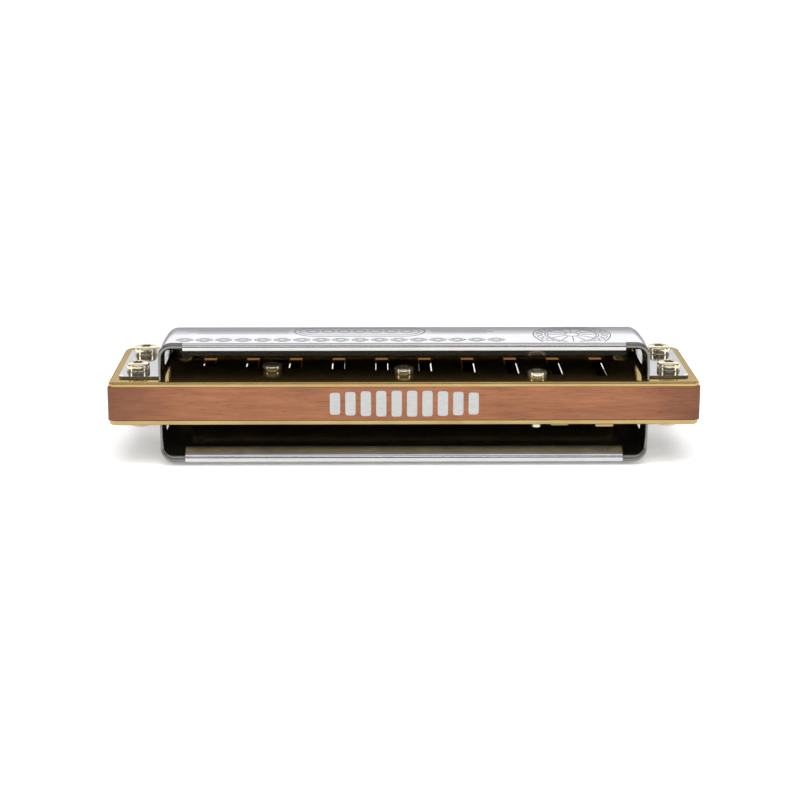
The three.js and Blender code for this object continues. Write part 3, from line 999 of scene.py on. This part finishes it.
def number_solid(hole):
    """One number as a thin flat solid, cut across at even heights so that it can follow the arch.
    DIGIT_SHARE is how much of the font's size a digit's height is."""
    text = bpy.data.curves.new(f"hole_{hole}", "FONT")
    text.body = str(hole)
    text.align_x = "CENTER"
    text.size = NUMBER_HEIGHT / DIGIT_SHARE
    text.extrude = (ETCH_PROUD + ETCH_SUNK) / 2
    holder = bpy.data.objects.new(f"hole_{hole}", text)
    bpy.context.scene.collection.objects.link(holder)
    graph = bpy.context.evaluated_depsgraph_get()
    number = bmesh.new()
    number.from_mesh(bpy.data.meshes.new_from_object(holder.evaluated_get(graph)))
    bpy.data.objects.remove(holder)
    for cut in range(1, NUMBER_CUTS):
        everything = number.verts[:] + number.edges[:] + number.faces[:]
        height = NUMBER_HEIGHT * cut / NUMBER_CUTS
        bmesh.ops.bisect_plane(number, geom=everything, plane_co=(0, height, 0), plane_no=(0, 1, 0))
    return number


def build_hole_numbers():
    """The hole numbers 1 to 10, etched along the front slope of the top cover."""
    bm = bmesh.new()
    for hole in HOLES:
        number = number_solid(hole)
        x, _ = plan_centre(f"blow_reed_{hole}")
        for v in number.verts:
            y = NUMBER_BASELINE + v.co.y
            v.co = (x + v.co.x, y, arch(y) + v.co.z + (ETCH_PROUD - ETCH_SUNK) / 2)
        absorb(bm, number)
    finished(bm, "hole_numbers", ETCHED_STEEL)


MARK_BARS = 10
MARK_PITCH = 2.62
MARK_WIDTH = 1.75
MARK_TALLEST = 4.55
MARK_SHORTENING = 0.035
MARK_CORNER = 0.42
INK_PROUD = 0.02
INK_SUNK = 0.05
INK_EDGE = 0.008


def build_back_mark():
    """Upright white bars printed on the comb's back, tallest in the middle."""
    bm = bmesh.new()
    for k in range(MARK_BARS):
        from_middle = k - (MARK_BARS - 1) / 2
        x = from_middle * MARK_PITCH
        left, right = x - MARK_WIDTH / 2, x + MARK_WIDTH / 2
        height = MARK_TALLEST - MARK_SHORTENING * from_middle**2
        ring = rounded_rectangle(left, right, -height / 2, height / 2, MARK_CORNER, steps=6)
        edge = [(0, -INK_SUNK), (0, INK_PROUD - INK_EDGE), (INK_EDGE, INK_PROUD)]
        absorb(bm, slab(ring, [], edge, []))
    for v in bm.verts:
        x, z, out = v.co
        v.co = (x, BACK_Y + out, z)
    finished(bm, "comb_back_mark", WHITE_INK)


# ---------------------------------------------------------------- screws and nuts


RECESS_LOBE = 0.13
RECESS_FLOOR = 0.35
NUT_HOLE = 1.15
NUT_HOLE_DEPTH = 1.1


def screw_profile(tail, seat, top, shank, head, recess):
    """From the shank's end up round the head and down into its lobed recess. tail, seat and top are
    heights; shank, head and recess are radii."""
    rise = top - seat
    floor = seat + RECESS_FLOOR * rise
    crown = [(0, 0.36), (0.03, 0.25), (0.12, 0.15), (0.28, 0.07), (0.5, 0.02)]
    profile = [(0, tail, 0), (shank - 0.15, tail, 0), (shank, tail + 0.15, 0), (shank, seat, 0)]
    profile += [(head - 0.1, seat, 0), (head - 0.02, seat + 0.04, 0), (head, seat + 0.12, 0)]
    profile += [(head - inwards, top - share * rise, 0) for inwards, share in crown]
    profile += [(recess + 0.22, top, 0), (recess + 0.07, top - 0.01, RECESS_LOBE)]
    profile += [(recess, top - 0.07, RECESS_LOBE), (recess, floor, RECESS_LOBE)]
    return profile + [(0.3, floor - 0.08, 0), (0, floor - 0.1, 0)]


def nut_profile(low, high):
    """A domed nut, from the middle of its dome round its side and into its blind hole."""
    dome = [(0, 0), (1.2, 0.02), (1.6, 0.1), (1.86, 0.28), (1.98, 0.5), (2, 0.65)]
    profile = [(radius, low + rise, 0) for radius, rise in dome]
    profile += [(2, high - 0.1, 0), (1.92, high, 0), (NUT_HOLE, high, 0)]
    return profile + [(NUT_HOLE, high - NUT_HOLE_DEPTH, 0), (0, high - NUT_HOLE_DEPTH - 0.1, 0)]


def build_screw(node, seat, metal_finish, shank, head, recess):
    """A screw whose head sits at the height seat."""
    low, high = box_mm(node)
    bm = turned(screw_profile(low.z, seat, high.z, shank, head, recess), *plan_centre(node))
    finished(bm, f"{node}_fine", metal_finish, [node], smooth_below=40)


def build_nut(node):
    """A domed nut under the lower cover's flange."""
    low, high = box_mm(node)
    bm = turned(nut_profile(low.z, high.z), *plan_centre(node))
    finished(bm, f"{node}_fine", SCREW_NICKEL, [node], smooth_below=40)


def build_fasteners():
    """The cover screws with their nuts, and the plate screws."""
    for name in COVER_SCREWS:
        build_screw(f"cover_screw_{name}", PLATE_TOP + SHEET, SCREW_NICKEL, shank=1.0, head=2.0, recess=0.88)
        build_nut(f"cover_nut_{name}")
    for name in PLATE_SCREWS:
        build_screw(f"plate_screw_{name}", PLATE_TOP, SATIN_NICKEL, shank=0.9, head=1.65, recess=0.78)


# ---------------------------------------------------------------- stage, lights and camera


WORLD_STRENGTH = 1.5
BACKDROP = [(0, 0.26), (0.18, 0.36), (0.225, 0.55), (0.25, 0.7), (0.29, 0.88), (0.7, 0.92), (0.9, 0.3)]
ROOM = [(0, 0.02), (0.3, 0.09), (0.7, 0.18), (0.85, 0.3), (1, 0.4)]
BACKDROP_FADES_IN = (-0.15, -0.6)
SKY_BLUE = 1.04


def studio_world():
    """A dim room with a bright backdrop on the mouthpiece's side, for the metal to reflect."""
    world = bpy.data.worlds.new("studio")
    world.use_nodes = True
    nodes, links = world.node_tree.nodes, world.node_tree.links

    def brightness(height, stops):
        """Grey levels by the height of a direction, from 0 at the horizon to 1 overhead."""
        ramp = nodes.new("ShaderNodeValToRGB")
        links.new(height, ramp.inputs["Fac"])
        elements = ramp.color_ramp.elements
        while len(elements) < len(stops):
            elements.new(0.5)
        for element, (place, level) in zip(elements, stops):
            element.position = place
            element.color = (level, level, min(1, SKY_BLUE * level), 1)
        return ramp.outputs["Color"]

    parts = nodes.new("ShaderNodeSeparateXYZ")
    links.new(nodes.new("ShaderNodeTexCoord").outputs["Generated"], parts.inputs[0])
    backdrop = brightness(parts.outputs["Z"], BACKDROP)
    room = brightness(parts.outputs["Z"], ROOM)
    away = nodes.new("ShaderNodeMapRange")
    away.inputs["From Min"].default_value, away.inputs["From Max"].default_value = BACKDROP_FADES_IN
    links.new(parts.outputs["Y"], away.inputs["Value"])
    mix = nodes.new("ShaderNodeMixRGB")
    links.new(away.outputs["Result"], mix.inputs[0])
    links.new(room, mix.inputs[1])
    links.new(backdrop, mix.inputs[2])
    background = nodes["Background"]
    background.inputs["Strength"].default_value = WORLD_STRENGTH
    links.new(mix.outputs[0], background.inputs["Color"])
    bpy.context.scene.world = world


def soft_light(name, direction, strength, spread):
    """A large soft light that shines along a direction; the metal shows the room instead of it."""
    sun = bpy.data.lights.new(name, "SUN")
    sun.energy = strength
    sun.angle = math.radians(spread)
    holder = bpy.data.objects.new(name, sun)
    holder.rotation_euler = Vector(direction).to_track_quat("-Z", "Y").to_euler()
    holder.visible_glossy = False
    bpy.context.scene.collection.objects.link(holder)


def strip_light(place, width, height, power):
    """A panel light aimed at the harmonica, that draws the fine highlights on the metal."""
    light = bpy.data.lights.new("strip", "AREA")
    light.shape = "RECTANGLE"
    light.size = width
    light.size_y = height
    light.energy = power
    holder = bpy.data.objects.new("strip", light)
    holder.location = place
    holder.rotation_euler = (-Vector(place)).to_track_quat("-Z", "Y").to_euler()
    bpy.context.scene.collection.objects.link(holder)


FLOOR_REACH = 4
FLOOR_DROP = 0.0002


def build_floor():
    """A wide white floor just under the harmonica."""
    paper = Shader(
        "floor_white", Base_Color=(0.92, 0.92, 0.92, 1), Roughness=0.9,
        Emission_Color=(1, 1, 1, 1), Emission_Strength=0.12)
    corners = [(x * FLOOR_REACH, y * FLOOR_REACH, 0) for x, y in ((-1, -1), (1, -1), (1, 1), (-1, 1))]
    mesh = bpy.data.meshes.new("floor")
    mesh.from_pydata(corners, [], [(0, 1, 2, 3)])
    mesh.materials.append(paper.material)
    floor = bpy.data.objects.new("floor", mesh)
    floor.location.z = -FLOOR_DROP
    bpy.context.scene.collection.objects.link(floor)


def build_lights():
    """Two soft lights for the wood and the print, and four panels for the metal's highlights."""
    soft_light("key", direction=(0, -0.42, -0.9), strength=2.0, spread=50)
    soft_light("fill", direction=(0.1, -0.9, -0.35), strength=0.62, spread=30)
    strip_light(place=(0, 0.8, 0.55), width=1.6, height=0.06, power=1.2)
    strip_light(place=(0, 0.25, 0.85), width=1.6, height=0.16, power=0.8)
    for side in (-1, 1):
        strip_light(place=(side * 0.85, 0.32, 0.3), width=0.22, height=0.45, power=0.8)


CAMERA_PITCH = math.radians(14.6)
CAMERA_YAW = math.radians(0.712)
CAMERA_ROLL = math.radians(0.075)
CAMERA_DISTANCE = 0.3465
CAMERA_AIM = Vector((0.00058, 0.0002, MIDDLE_M - 0.00287))
LENS = 88.1
SENSOR_WIDTH = 36


def build_camera():
    """The photograph's view: from behind the harmonica and a little above it."""
    level = math.cos(CAMERA_PITCH)
    forward = Vector((-math.sin(CAMERA_YAW) * level, -math.cos(CAMERA_YAW) * level, -math.sin(CAMERA_PITCH)))
    level_right = forward.cross(Vector((0, 0, 1))).normalized()
    level_up = level_right.cross(forward)
    right = math.cos(CAMERA_ROLL) * level_right + math.sin(CAMERA_ROLL) * level_up
    up = right.cross(forward)
    data = bpy.data.cameras.new("camera")
    data.sensor_width = SENSOR_WIDTH
    data.lens = LENS
    data.clip_start = 0.01
    camera = bpy.data.objects.new("camera", data)
    axes = Matrix((right, up, -forward)).transposed().to_4x4()
    camera.matrix_world = Matrix.Translation(CAMERA_AIM - forward * CAMERA_DISTANCE) @ axes
    bpy.context.scene.collection.objects.link(camera)
    bpy.context.scene.camera = camera


# ---------------------------------------------------------------- the whole harmonica

bpy.context.scene.view_settings.view_transform = "Standard"
build_camera()
studio_world()
build_lights()
build_floor()
build_comb()
for plate_side in ("blow", "draw"):
    build_plate(plate_side)
    for hole_number in HOLES:
        build_reed(plate_side, hole_number)
        build_rivet(plate_side, hole_number)
build_cover("top_cover", up=1)
build_cover("bottom_cover", up=-1)
build_etching()
build_hole_numbers()
build_back_mark()
build_fasteners()
